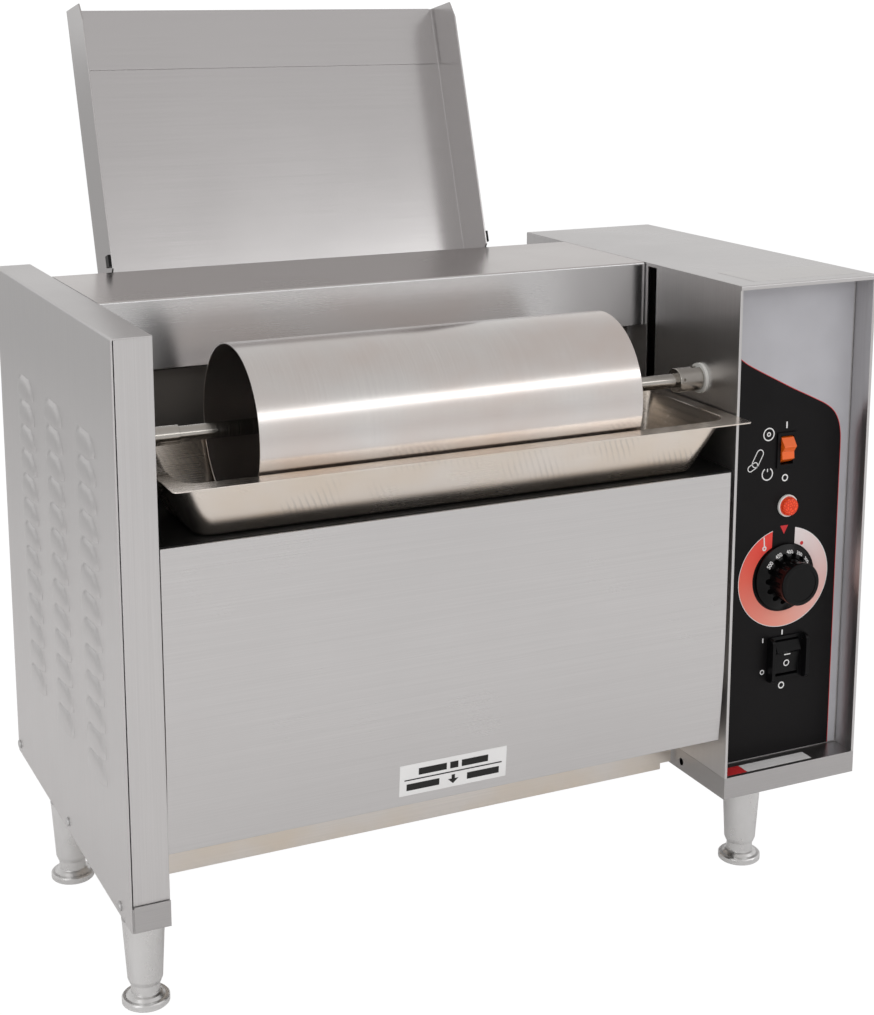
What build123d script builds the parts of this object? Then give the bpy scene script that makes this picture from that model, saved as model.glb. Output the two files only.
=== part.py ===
from build123d import *
from math import atan2, asin, cos, degrees, radians, sin
import os

os.makedirs("parts", exist_ok=True)

# Vertical bun toaster with a butter roller. Millimetres. The origin is on the floor, in the
# middle of the machine's footprint; +X is the operator's right, +Y the back and +Z up.
# CORNER is the body's left front bottom corner. All the sizes below are measured from it.
CORNER = Vector(-324.2, -192.4, 69.0)

# Driving dimensions
SHEET = 1.2
WIDTH = 648.0
DEPTH = 360.0
HEIGHT = 439.5
BASE = 19.0
LEFT_WALL = 29.4
RIGHT_WALL = 513.6
LEG_HEIGHT = 69.0
LEG_PLACES = {
    "front_left": (15.2, 22.6),
    "rear_left": (15.2, 238.4),
    "front_right": (547.0, 22.6),
    "rear_right": (547.0, 238.4),
}

# Butter roller and pan
ROLLER_Y = 54.0
ROLLER_Z = 354.4
ROLLER_RADIUS = 63.5
ROLLER_START = 102.5
ROLLER_END = 418.5
SLEEVE_END = 62.0
SLEEVE_RADIUS = 7.2
COUPLING_START = 488.0
COUPLING_RADIUS = 10.3
SHELF_TOP = 287.0
PAN_TOP = 334.0
PAN_X = (33.6, 511.5)
PAN_Y = (-25.5, 138.0)
CAVITY_X = (45.0, 500.0)
CAVITY_Y = (-9.0, 119.0)
PAN_FLOOR_X = (63.5, 481.5)
PAN_FLOOR_Y = (14.0, 96.0)

# Hood, platens and conveyors
HOOD_FRONT = 143.5
HOOD_REAR = 286.2
HOOD_DROP = 55.0
FRONT_PLATEN = 168.0
REAR_PLATEN = 284.0
PLATEN = 10.0
CONVEYOR_UPPER_Z = 250.2
CONVEYOR_LOWER_Z = 78.7
FRONT_CONVEYOR_Y = 112.0
REAR_CONVEYOR_Y = 334.0
BELT_INSIDE = 18.3
BELT = 2.2
BELT_X = (52.0, 491.0)

# Shafts, sprockets and gears in the control box
SHAFT_RADIUS = 6.0
BEARING_BORE = 6.05
BEARING_RADIUS = 9.0
SPROCKET_RADIUS = 17.6
CHAIN_INSIDE = 18.0
CHAIN = 5.0
CHAIN_WIDTH = 5.0
MOTOR_CHAIN_X = 522.0
ROLLER_CHAIN_X = 532.0
GEAR_X = 542.0
REAR_CHAIN_X = 553.0
GEAR_TEETH = 24
GEAR_MODULE = 1.5
GEAR_WIDTH = 6.0
COUNTER_Y = FRONT_CONVEYOR_Y + GEAR_TEETH * GEAR_MODULE
MOTOR_Z = 135.9

# Control panel
PANEL_Y = 25.0
OVERLAY = 0.4
KNOB_PLACE = (584.0, 180.4)
LAMP_PLACE = (585.0, 243.0)
MOTOR_SWITCH = (581.8, 292.0)
POWER_SWITCH = (589.0, 107.5)
ROCKER_PIVOT_Y = PANEL_Y + 1.5
ROCKER_PIN = 1.2

# Rear feed tray, tilted back
TRAY_TILT = 18.3
TRAY_Y = 338.8
TRAY_X = (82.4, 434.6)
TRAY_LENGTH = 224.0
TRAY_BELOW = 42.0
TRAY_FLANGE = 47.0
TRAY_FLAP = 53.7


def across(x):
    """Plane at x with local axes back and up; it extrudes to the right."""
    return Plane(origin=CORNER + Vector(x, 0, 0), x_dir=(0, 1, 0), z_dir=(1, 0, 0))


def facing(y):
    """Plane at y with local axes right and up; it extrudes to the front."""
    return Plane(origin=CORNER + Vector(0, y, 0), x_dir=(1, 0, 0), z_dir=(0, -1, 0))


def level(z):
    """Plane at z with local axes right and back; it extrudes up."""
    return Plane(origin=CORNER + Vector(0, 0, z), x_dir=(1, 0, 0), z_dir=(0, 0, 1))


def block(x, y, z, mode=Mode.ADD):
    """Rectangular block; each of x, y and z is a (low, high) pair."""
    middle = Vector((x[0] + x[1]) / 2, (y[0] + y[1]) / 2, (z[0] + z[1]) / 2)
    with Locations(CORNER + middle):
        Box(x[1] - x[0], y[1] - y[0], z[1] - z[0], mode=mode)


def bar(axis, span, place, radius, mode=Mode.ADD):
    """Round bar along X, Y or Z over span; place is its centre on the other two axes."""
    middle = (span[0] + span[1]) / 2
    centres = {
        "X": Vector(middle, place[0], place[1]),
        "Y": Vector(place[0], middle, place[1]),
        "Z": Vector(place[0], place[1], middle),
    }
    turns = {"X": (0, 90, 0), "Y": (90, 0, 0), "Z": (0, 0, 0)}
    with Locations(Location(CORNER + centres[axis], turns[axis])):
        Cylinder(radius, span[1] - span[0], mode=mode)


def save(piece, name):
    """Label a finished piece and write its STEP file."""
    piece.part.label = name
    export_step(piece.part, f"parts/{name}.step")


# ---------------------------------------------------------------- left tower

def louvres(face_x):
    """Three columns of scooped louvres, open at their lower edge, on the left side cover."""
    pitch = 20.9
    length = 52.0
    height = 16.0
    bulge = 3.6
    mouth = 3.0
    columns = {267.0: 102.5, 175.0: 101.0, 80.0: 99.5}
    for y, lowest in columns.items():
        for row in range(13):
            z = lowest + row * pitch
            plane = Plane(origin=CORNER + Vector(face_x, y, z), x_dir=(0, -1, 0), z_dir=(-1, 0, 0))
            with BuildSketch(plane, mode=Mode.PRIVATE) as outer:
                SlotOverall(length, height)
            with BuildSketch(plane, mode=Mode.PRIVATE) as inner:
                SlotOverall(length - 2, height - 2)
            extrude(outer.sketch, amount=bulge, taper=40)
            extrude(inner.sketch, amount=bulge - 1, taper=40, mode=Mode.SUBTRACT)
            extrude(inner.sketch, amount=-SHEET, mode=Mode.SUBTRACT)
            low = z - height / 2
            block((face_x - bulge, face_x), (y - length / 3, y + length / 3), (low, low + mouth), Mode.SUBTRACT)


SCREW_PLACES = ((29, 8), (182, 8), (353, 8))

with BuildPart() as left_side_cover:
    block((0, SHEET), (0, DEPTH), (0, HEIGHT))
    block((SHEET, LEFT_WALL), (0, DEPTH), (HEIGHT - SHEET, HEIGHT))
    block((SHEET, LEFT_WALL), (DEPTH - SHEET, DEPTH), (HEIGHT - 15, HEIGHT - SHEET))
    louvres(0)
    for place in SCREW_PLACES:
        bar("X", (-1, 2), place, 2.1, Mode.SUBTRACT)
save(left_side_cover, "left_side_cover")

with BuildPart() as left_base_channel:
    block((SHEET, LEFT_WALL), (-0.8, DEPTH - SHEET), (0, BASE))
    block((2 * SHEET, LEFT_WALL - SHEET), (0.4, DEPTH - 2 * SHEET), (SHEET, BASE - SHEET), Mode.SUBTRACT)
    block((2, LEFT_WALL), (-2, -0.8), (0.5, BASE + 1.5))
    for place in SCREW_PLACES:
        bar("X", (0, 5), place, 2.1, Mode.SUBTRACT)
save(left_base_channel, "left_base_channel")

with BuildPart() as left_tower_wall:
    wall_x = (LEFT_WALL - SHEET, LEFT_WALL)
    tower_z = (BASE, HEIGHT - SHEET)
    block(wall_x, (0, DEPTH - SHEET), tower_z)
    block((2, LEFT_WALL), (0, SHEET), tower_z)
    block((2, LEFT_WALL), (DEPTH - 2 * SHEET, DEPTH - SHEET), tower_z)
    for y in (FRONT_CONVEYOR_Y, REAR_CONVEYOR_Y):
        for z in (CONVEYOR_UPPER_Z, CONVEYOR_LOWER_Z):
            bar("X", (20, 35), (y, z), BEARING_RADIUS + 0.05, Mode.SUBTRACT)
save(left_tower_wall, "left_tower_wall")

with BuildPart() as cover_screws:
    for place in SCREW_PLACES:
        bar("X", (-1.8, 0), place, 3.8)
        bar("X", (0, 6), place, 2.0)
    fillet(cover_screws.edges().filter_by(GeomType.CIRCLE).group_by(Axis.X)[0], 1.2)
save(cover_screws, "cover_screws")


# ---------------------------------------------------------------- control box

with BuildPart() as right_base_tray:
    block((RIGHT_WALL, WIDTH), (0, DEPTH - SHEET), (0, BASE))
    inner_x = (RIGHT_WALL + SHEET, WIDTH - SHEET)
    block(inner_x, (SHEET, DEPTH - 2 * SHEET), (SHEET, BASE - SHEET), Mode.SUBTRACT)
    bar("X", (RIGHT_WALL - 1, RIGHT_WALL + 2), (66, 8), 3.2, Mode.SUBTRACT)
save(right_base_tray, "right_base_tray")

SHAFT_HOLES = (
    (FRONT_CONVEYOR_Y, CONVEYOR_UPPER_Z),
    (FRONT_CONVEYOR_Y, CONVEYOR_LOWER_Z),
    (REAR_CONVEYOR_Y, CONVEYOR_UPPER_Z),
    (REAR_CONVEYOR_Y, CONVEYOR_LOWER_Z),
    (COUNTER_Y, CONVEYOR_UPPER_Z),
    (ROLLER_Y, ROLLER_Z),
)
ELEMENT_RADIUS = 4.0
ELEMENT_Y = (FRONT_PLATEN + PLATEN + ELEMENT_RADIUS + 0.2, REAR_PLATEN - PLATEN - ELEMENT_RADIUS - 0.2)
ELEMENT_Z = (110.0, 170.0, 230.0, 290.0)

with BuildPart() as control_box_wall:
    block((RIGHT_WALL, RIGHT_WALL + SHEET), (0, DEPTH - SHEET), (BASE, HEIGHT - SHEET))
    block((RIGHT_WALL + SHEET, RIGHT_WALL + 2 * SHEET), (0, 7), (BASE, HEIGHT - 4))
    block((RIGHT_WALL - 1, RIGHT_WALL + 2), (125, 139), (338, HEIGHT - 3), Mode.SUBTRACT)
    for place in SHAFT_HOLES:
        bar("X", (RIGHT_WALL - 1, RIGHT_WALL + 5), place, BEARING_RADIUS + 0.05, Mode.SUBTRACT)
    for y in ELEMENT_Y:
        for z in (ELEMENT_Z[0], ELEMENT_Z[-1]):
            bar("X", (RIGHT_WALL - 1, RIGHT_WALL + 5), (y, z), ELEMENT_RADIUS + 0.5, Mode.SUBTRACT)
save(control_box_wall, "control_box_wall")

with BuildPart() as control_box_side_cover:
    block((WIDTH - SHEET, WIDTH), (0, DEPTH - SHEET), (BASE, HEIGHT - SHEET))
    block((WIDTH - 2 * SHEET, WIDTH - SHEET), (0, 7), (BASE, HEIGHT - 4))
save(control_box_side_cover, "control_box_side_cover")

LIP_X = WIDTH + 3.4
with BuildPart() as control_box_top_cover:
    block((RIGHT_WALL, LIP_X), (-SHEET, DEPTH), (HEIGHT - SHEET, HEIGHT))
    block((RIGHT_WALL, LIP_X), (-SHEET, 0), (HEIGHT - 3.6, HEIGHT - SHEET))
    block((LIP_X - SHEET, LIP_X), (-SHEET, DEPTH), (HEIGHT - 14.5, HEIGHT - SHEET))
    block((RIGHT_WALL, LIP_X), (DEPTH - SHEET, DEPTH), (HEIGHT - 15, HEIGHT - SHEET))
    fillet(control_box_top_cover.edges().filter_by(Axis.X).group_by(Axis.Z)[-1], 1.1)
    fillet(control_box_top_cover.edges().filter_by(Axis.Y).group_by(Axis.X)[-1].sort_by(Axis.Z)[-1], 1.1)
save(control_box_top_cover, "control_box_top_cover")

GLAND_PLACE = (600.0, 60.0)
with BuildPart() as control_box_rear_panel:
    block((RIGHT_WALL + SHEET, WIDTH - SHEET), (DEPTH - 2 * SHEET, DEPTH - SHEET), (BASE, HEIGHT - SHEET))
    bar("Y", (DEPTH - 5, DEPTH + 5), GLAND_PLACE, 10.2, Mode.SUBTRACT)
save(control_box_rear_panel, "control_box_rear_panel")


def panel_cutouts():
    """Holes for the two switches, the lamp and the thermostat stem."""
    depth = (PANEL_Y - 3, PANEL_Y + 3)
    bar("Y", depth, KNOB_PLACE, 5.0, Mode.SUBTRACT)
    bar("Y", depth, LAMP_PLACE, 7.0, Mode.SUBTRACT)
    for (x, z), half_width, half_height in ((MOTOR_SWITCH, 8.6, 13.8), (POWER_SWITCH, 18, 18)):
        block((x - half_width, x + half_width), depth, (z - half_height, z + half_height), Mode.SUBTRACT)


with BuildPart() as control_panel:
    panel_x = (RIGHT_WALL + SHEET, WIDTH - SHEET)
    block(panel_x, (PANEL_Y, PANEL_Y + SHEET), (BASE, HEIGHT - SHEET))
    panel_cutouts()
save(control_panel, "control_panel")

with BuildPart() as panel_overlay:
    block((RIGHT_WALL + 2, WIDTH - 2), (PANEL_Y - OVERLAY, PANEL_Y), (BASE + 0.6, HEIGHT - 3))
    panel_cutouts()
save(panel_overlay, "panel_overlay")


def switch_housing(name, place, half_width, half_height, wall, depth):
    """Snap-in switch body with a flange in front of the panel and a pocket for its rocker.

    wall is the thickness beside the rocker, with a blind hole for its pivot pin.
    """
    end_wall = 1.4
    x, z = place
    front = PANEL_Y - OVERLAY
    with BuildPart() as housing:
        block((x - half_width - 1, x + half_width + 1), (front - 1.6, front),
              (z - half_height - 1.4, z + half_height + 1.4))
        block((x - half_width + 0.2, x + half_width - 0.2), (front, depth),
              (z - half_height + 0.2, z + half_height - 0.2))
        block((x - half_width + wall, x + half_width - wall), (front - 2, depth - 2),
              (z - half_height + end_wall, z + half_height - end_wall), Mode.SUBTRACT)
        pin_span = (x - half_width + wall - 1, x + half_width - wall + 1)
        bar("X", pin_span, (ROCKER_PIVOT_Y, z), ROCKER_PIN + 0.05, Mode.SUBTRACT)
        if name == "power_switch_housing":
            guard_z = (z - half_height - 1.4, z + half_height + 1.4)
            for side in (-1, 1):
                edge = x + side * (half_width + 1)
                guard_x = sorted((edge - side * 3.2, edge))
                block(guard_x, (front - 9, front - 1.6), guard_z)
            fillet(housing.edges().filter_by(Axis.X).group_by(Axis.Y)[0], 5)
    save(housing, name)


switch_housing("motor_switch_housing", MOTOR_SWITCH, 8.6, 13.8, 2.2, 52)
switch_housing("power_switch_housing", POWER_SWITCH, 18, 18, 5.4, 60)


def rocker(name, place, half_width, tilt, face):
    """Rocker button tilted back on its pivot pin, so that its bottom end is pressed in.

    face is the outline of its front, from the bottom end to the top one, as (along, out) from the pivot.
    """
    x, z = place
    lean = radians(tilt)
    origin = CORNER + Vector(x - half_width, ROCKER_PIVOT_Y, z)
    plane = Plane(origin=origin, x_dir=(0, -sin(lean), cos(lean)), z_dir=(1, 0, 0))
    with BuildPart() as button:
        with BuildSketch(plane):
            Polygon(*face, (face[-1][0], -3), (face[0][0], -3), align=None)
        extrude(amount=2 * half_width)
        fillet(button.edges().filter_by(Axis.X), 0.6)
        bar("X", (x - half_width - 0.9, x + half_width + 0.9), (ROCKER_PIVOT_Y, z), ROCKER_PIN)
    save(button, name)


rocker("motor_rocker", MOTOR_SWITCH, 6.1, 13,
       ((-11.5, 1.6), (-5.8, 7.2), (0, 5.2), (5.8, 7.6), (11.5, 1.0)))
rocker("power_rocker", POWER_SWITCH, 12.2, 6,
       ((-15.2, 3.0), (-13.8, 4.6), (4.6, 5.0), (7.6, 7.4), (15.2, 2.6)))

with BuildPart() as lamp_bezel:
    with BuildSketch(facing(PANEL_Y - OVERLAY)):
        with Locations(LAMP_PLACE):
            Circle(9.6)
            Circle(8.1, mode=Mode.SUBTRACT)
    extrude(amount=2.2)
    fillet(lamp_bezel.edges().group_by(Axis.Y)[0], 0.6)
save(lamp_bezel, "lamp_bezel")

with BuildPart() as lamp_lens:
    bar("Y", (PANEL_Y - OVERLAY, 46), LAMP_PLACE, 6.8)
    bar("Y", (PANEL_Y - 7.4, PANEL_Y - OVERLAY), LAMP_PLACE, 8.0)
    fillet(lamp_lens.edges().filter_by(GeomType.CIRCLE).group_by(Axis.Y)[0], 3.0)
save(lamp_lens, "lamp_lens")

KNOB_FRONT = -1.5
SKIRT_RADIUS = 29.2
GRIP_RADIUS = 18.7
with BuildPart() as thermostat_knob:
    knob_back = PANEL_Y - OVERLAY - 0.6
    bar("Y", (knob_back - 2.2, knob_back), KNOB_PLACE, SKIRT_RADIUS)
    with BuildSketch(facing(knob_back - 2.2)):
        with Locations(KNOB_PLACE):
            Circle(SKIRT_RADIUS - 0.2)
    extrude(amount=5.2, taper=60)
    bar("Y", (KNOB_FRONT, knob_back), KNOB_PLACE, GRIP_RADIUS)
    with Locations(Location(CORNER + Vector(KNOB_PLACE[0], 12.3, KNOB_PLACE[1]), (90, 0, 0))):
        with PolarLocations(GRIP_RADIUS + 1.3, 14):
            Cylinder(2.6, 17.5, mode=Mode.SUBTRACT)
    fillet(thermostat_knob.edges().filter_by(GeomType.CIRCLE).group_by(Axis.Y)[0], 2.2)
    bar("Y", (KNOB_FRONT - 1, KNOB_FRONT + 0.5), KNOB_PLACE, GRIP_RADIUS - 4.2, Mode.SUBTRACT)
    bar("Y", (knob_back, 32), KNOB_PLACE, 3.0)
save(thermostat_knob, "thermostat_knob")

with BuildPart() as thermostat:
    bar("Y", (PANEL_Y + SHEET, 62), KNOB_PLACE, 20)
    block((KNOB_PLACE[0] - 24, KNOB_PLACE[0] + 24), (PANEL_Y + SHEET, PANEL_Y + 4), (168, 193))
    bar("Y", (20, 34), KNOB_PLACE, 3.05, Mode.SUBTRACT)
save(thermostat, "thermostat")

with BuildPart() as thermostat_capillary:
    with BuildLine() as capillary_path:
        FilletPolyline(
            CORNER + Vector(584, 62, 180), CORNER + Vector(584, 90, 180), CORNER + Vector(584, 228, 200),
            CORNER + Vector(516, 228, 200), radius=12,
        )
    with BuildSketch(Plane(origin=capillary_path.line @ 0, z_dir=capillary_path.line % 0)):
        Circle(1.0)
    sweep()
save(thermostat_capillary, "thermostat_capillary")

with BuildPart() as terminal_block:
    block((606, 640), (290, 345), (BASE, BASE + 8))
    for step in range(5):
        y = 293 + step * 10.5
        block((610, 636), (y, y + 8), (BASE + 8, BASE + 20))
        bar("Z", (BASE + 16, BASE + 22), (623, y + 4), 2.6, Mode.SUBTRACT)
save(terminal_block, "terminal_block")

with BuildPart() as cord_gland:
    bar("Y", (DEPTH - SHEET, DEPTH + 7), GLAND_PLACE, 14)
    bar("Y", (DEPTH - 10, DEPTH - SHEET), GLAND_PLACE, 10)
    bar("Y", (DEPTH + 7, DEPTH + 18), GLAND_PLACE, 10.5)
    fillet(cord_gland.edges().filter_by(GeomType.CIRCLE).group_by(Axis.Y)[-1], 2)
    bar("Y", (DEPTH - 12, DEPTH + 20), GLAND_PLACE, 4.5, Mode.SUBTRACT)
save(cord_gland, "cord_gland")


# ---------------------------------------------------------------- centre section

with BuildPart() as rear_panel:
    block((LEFT_WALL, RIGHT_WALL), (DEPTH - SHEET, DEPTH), (0, 415))
    block((LEFT_WALL, RIGHT_WALL), (333.5, DEPTH - SHEET), (415 - SHEET, 415))
    for x in (130, 376):
        block((x, x + 12), (318, DEPTH - SHEET), (395.6, 396.8))
        block((x, x + 12), (318, 319.2), (396.8, 404))
save(rear_panel, "rear_panel")

RAMP_FRONT = 80.0
with BuildPart() as discharge_ramp:
    with BuildSketch(across(LEFT_WALL + 0.2)):
        Polygon(
            (RAMP_FRONT, -1.5), (RAMP_FRONT, 17), (342, 46), (342, 20), (342 + SHEET, 20), (342 + SHEET, 47.3),
            (RAMP_FRONT + SHEET, 18.3), (RAMP_FRONT - SHEET, 17), (RAMP_FRONT - SHEET, -1.5),
            align=None,
        )
    extrude(amount=481.4)
    block((500, 520), (70, RAMP_FRONT + 0.01), (-2, 4), Mode.SUBTRACT)
save(discharge_ramp, "discharge_ramp")

with BuildPart() as pan_shelf:
    block((LEFT_WALL, RIGHT_WALL), (3.2, 126), (SHELF_TOP - SHEET, SHELF_TOP))
    block((LEFT_WALL, RIGHT_WALL), (3.2, 3.2 + SHEET), (262, SHELF_TOP - SHEET))
    block((LEFT_WALL, RIGHT_WALL), (126 - SHEET, 126), (SHELF_TOP - 12, SHELF_TOP - SHEET))
save(pan_shelf, "pan_shelf")

with BuildPart() as platens:
    platen_x = (LEFT_WALL + 2.2, RIGHT_WALL - 2.2)
    block(platen_x, (FRONT_PLATEN, FRONT_PLATEN + PLATEN), (66, 378))
    block(platen_x, (REAR_PLATEN - PLATEN, REAR_PLATEN), (66, 378))
save(platens, "platens")

with BuildPart() as core_end_plates:
    for x in (LEFT_WALL, RIGHT_WALL - 2):
        block((x, x + 2), (FRONT_PLATEN, REAR_PLATEN), (60, 380))
    for y in ELEMENT_Y:
        for z in (ELEMENT_Z[0], ELEMENT_Z[-1]):
            bar("X", (RIGHT_WALL - 4, RIGHT_WALL + 2), (y, z), ELEMENT_RADIUS + 0.5, Mode.SUBTRACT)
save(core_end_plates, "core_end_plates")

with BuildPart() as hood_rails:
    block((LEFT_WALL, LEFT_WALL + 12), (152, 278), (HEIGHT - 2.6, HEIGHT - 1.4))
    block((LEFT_WALL, LEFT_WALL + SHEET), (152, 278), (HEIGHT - 22, HEIGHT - 2.6))
    block((RIGHT_WALL - 12, RIGHT_WALL), (152, 278), (HEIGHT - 2.6, HEIGHT - 1.4))
    block((RIGHT_WALL - SHEET, RIGHT_WALL), (152, 278), (HEIGHT - 22, HEIGHT - 2.6))
save(hood_rails, "hood_rails")


def element_path(y):
    """Serpentine of four runs with both ends in the control box."""
    corners = [
        (528, ELEMENT_Z[0]), (60, ELEMENT_Z[0]), (60, ELEMENT_Z[1]), (490, ELEMENT_Z[1]),
        (490, ELEMENT_Z[2]), (60, ELEMENT_Z[2]), (60, ELEMENT_Z[3]), (528, ELEMENT_Z[3]),
    ]
    return [CORNER + Vector(x, y, z) for x, z in corners]


with BuildPart() as heating_elements:
    for y in ELEMENT_Y:
        with BuildLine(mode=Mode.PRIVATE) as element_line:
            FilletPolyline(*element_path(y), radius=18)
        with BuildSketch(Plane(origin=element_line.line @ 0, z_dir=element_line.line % 0), mode=Mode.PRIVATE) as ring:
            Circle(ELEMENT_RADIUS)
        sweep(ring.sketch, path=element_line.line)
save(heating_elements, "heating_elements")


def conveyor_belt(name, y):
    """Flat silicone belt around its two rollers."""
    middle_z = (CONVEYOR_UPPER_Z + CONVEYOR_LOWER_Z) / 2
    spacing = CONVEYOR_UPPER_Z - CONVEYOR_LOWER_Z
    with BuildPart() as belt:
        with BuildSketch(across(BELT_X[0])):
            with Locations((y, middle_z)):
                SlotCenterToCenter(spacing, 2 * (BELT_INSIDE + BELT), rotation=90)
                SlotCenterToCenter(spacing, 2 * BELT_INSIDE, rotation=90, mode=Mode.SUBTRACT)
        extrude(amount=BELT_X[1] - BELT_X[0])
    save(belt, name)


conveyor_belt("front_conveyor_belt", FRONT_CONVEYOR_Y)
conveyor_belt("rear_conveyor_belt", REAR_CONVEYOR_Y)


def bearing(wall_face, direction, place):
    """Flanged bush: its flange lies on the wall's face, its body passes through the wall."""
    flange = sorted((wall_face, wall_face + direction * 3))
    body = sorted((wall_face, wall_face - direction * 5))
    bar("X", flange, place, 13)
    bar("X", body, place, BEARING_RADIUS)
    bar("X", (min(body[0], flange[0]) - 1, max(body[1], flange[1]) + 1), place, BEARING_BORE, Mode.SUBTRACT)


with BuildPart() as shaft_bearings:
    for place in SHAFT_HOLES[:4]:
        bearing(LEFT_WALL, 1, place)
        bearing(RIGHT_WALL, -1, place)
    bearing(RIGHT_WALL, -1, SHAFT_HOLES[4])
save(shaft_bearings, "shaft_bearings")

with BuildPart() as roller_wall_bushing:
    roller_place = (ROLLER_Y, ROLLER_Z)
    bar("X", (RIGHT_WALL - 2.6, RIGHT_WALL), roller_place, 12.6)
    bar("X", (RIGHT_WALL, RIGHT_WALL + 7), roller_place, BEARING_RADIUS)
    bar("X", (RIGHT_WALL - 5, RIGHT_WALL + 9), roller_place, BEARING_BORE, Mode.SUBTRACT)
save(roller_wall_bushing, "roller_wall_bushing")

with BuildPart() as roller_saddle:
    seat = SLEEVE_RADIUS + 0.3
    saddle_x = (LEFT_WALL - 1, LEFT_WALL + 4)
    block((LEFT_WALL, LEFT_WALL + 3), (ROLLER_Y - 14, ROLLER_Y + 14), (336, 360))
    bar("X", saddle_x, roller_place, seat, Mode.SUBTRACT)
    block(saddle_x, (ROLLER_Y - seat, ROLLER_Y + seat), (ROLLER_Z, 370), Mode.SUBTRACT)
save(roller_saddle, "roller_saddle")

with BuildPart() as hood:
    hood_x = (LEFT_WALL + 0.8, RIGHT_WALL - 0.8)
    block(hood_x, (HOOD_FRONT, HOOD_REAR), (HEIGHT - SHEET, HEIGHT))
    block(hood_x, (HOOD_FRONT, HOOD_FRONT + SHEET), (HEIGHT - HOOD_DROP, HEIGHT - SHEET))
    block(hood_x, (HOOD_REAR - SHEET, HOOD_REAR), (HEIGHT - 26, HEIGHT - SHEET))
    with BuildSketch(facing(HOOD_FRONT + 3)):
        Polygon(
            (hood_x[0] - 1, HEIGHT - HOOD_DROP - 1), (74, HEIGHT - HOOD_DROP - 1), (62, HEIGHT - HOOD_DROP + 9),
            (hood_x[0] - 1, HEIGHT - HOOD_DROP + 9), align=None,
        )
    extrude(amount=6, mode=Mode.SUBTRACT)
    fillet(hood.edges().filter_by(Axis.X).group_by(Axis.Z)[-1], 1.8)
save(hood, "hood")

PANEL_BEND_Z = 165.0
PANEL_BOTTOM = 52.8
PANEL_SWEEP = 5.6
drop = PANEL_BEND_Z - PANEL_BOTTOM
bend_radius = (PANEL_SWEEP**2 + drop**2) / (2 * PANEL_SWEEP)
bend_angle = degrees(asin(drop / bend_radius))
with BuildPart() as front_panel:
    with BuildSketch(across(LEFT_WALL + 0.8)):
        with BuildLine():
            outer_top = Line((0, 286.5), (0, PANEL_BEND_Z))
            outer_bend = JernArc(outer_top @ 1, (0, -1), bend_radius, bend_angle)
            inner_top = Line((SHEET, 280), (SHEET, PANEL_BEND_Z))
            inner_bend = JernArc(inner_top @ 1, (0, -1), bend_radius - SHEET, bend_angle)
            Line(outer_bend @ 1, inner_bend @ 1)
            Polyline((SHEET, 280), (2.4, 280), (2.4, 286.5), (0, 286.5))
        make_face()
    extrude(amount=509.7 - LEFT_WALL - 0.8)
save(front_panel, "front_panel")

LABEL_X = (215.0, 307.3)
LABEL_Z = (61.0, 87.0)
LABEL = 0.3
with BuildPart() as front_label:
    top_angle = degrees(asin((PANEL_BEND_Z - LABEL_Z[1]) / bend_radius))
    bottom_angle = degrees(asin((PANEL_BEND_Z - LABEL_Z[0]) / bend_radius))
    bend_centre = (bend_radius, PANEL_BEND_Z)
    with BuildSketch(across(LABEL_X[0])):
        with BuildLine():
            back = CenterArc(bend_centre, bend_radius, 180 + top_angle, bottom_angle - top_angle)
            front = CenterArc(bend_centre, bend_radius + LABEL, 180 + top_angle, bottom_angle - top_angle)
            Line(back @ 0, front @ 0)
            Line(back @ 1, front @ 1)
        make_face()
    extrude(amount=LABEL_X[1] - LABEL_X[0])
save(front_label, "front_label")


# ---------------------------------------------------------------- rear feed tray

TRAY_PLANE = Plane(
    origin=CORNER + Vector(0, TRAY_Y, HEIGHT),
    x_dir=(1, 0, 0),
    z_dir=(0, -cos(radians(TRAY_TILT)), sin(radians(TRAY_TILT))),
)


def tray_side(x):
    """Plane of a tray flange: local axes forward from the plate and up along it."""
    return Plane(
        origin=TRAY_PLANE.from_local_coords(Vector(x, 0, 0)),
        x_dir=TRAY_PLANE.z_dir,
        z_dir=(-1, 0, 0),
    )


with BuildPart() as bun_tray:
    with BuildSketch(TRAY_PLANE):
        with Locations(((TRAY_X[0] + TRAY_X[1]) / 2, (TRAY_LENGTH - TRAY_BELOW) / 2)):
            Rectangle(TRAY_X[1] - TRAY_X[0], TRAY_LENGTH + TRAY_BELOW)
    extrude(amount=-SHEET)
    with BuildSketch(TRAY_PLANE):
        with Locations(((TRAY_X[0] + TRAY_X[1]) / 2 - 1, TRAY_LENGTH - TRAY_FLAP / 2)):
            Rectangle(TRAY_X[1] - TRAY_X[0] - 6, TRAY_FLAP)
    extrude(amount=1.0)
    for x in (TRAY_X[0] + SHEET, TRAY_X[1]):
        with BuildSketch(tray_side(x)):
            Polygon(
                (0, -TRAY_BELOW), (12, -TRAY_BELOW), (TRAY_FLANGE, -13), (TRAY_FLANGE, TRAY_LENGTH - 22),
                (TRAY_FLANGE - 7, TRAY_LENGTH - 6), (0, TRAY_LENGTH), align=None,
            )
        extrude(amount=SHEET)
save(bun_tray, "bun_tray")

with BuildPart() as tray_bumpers:
    for x, side in ((TRAY_X[0], -1), (TRAY_X[1], 1)):
        low = x if side > 0 else x - 2.4
        with BuildSketch(tray_side(low + 2.4)):
            with Locations((TRAY_FLANGE - 5, -6)):
                Rectangle(9, 10)
        extrude(amount=2.4)
save(tray_bumpers, "tray_bumpers")


# ---------------------------------------------------------------- butter pan

def rounded_outline(z, x, y, corner):
    """Rounded rectangle at height z."""
    with BuildSketch(level(z), mode=Mode.PRIVATE) as outline:
        with Locations(((x[0] + x[1]) / 2, (y[0] + y[1]) / 2)):
            RectangleRounded(x[1] - x[0], y[1] - y[0], corner)
    return outline.sketch


PAN_SHEET = 1.0


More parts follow.
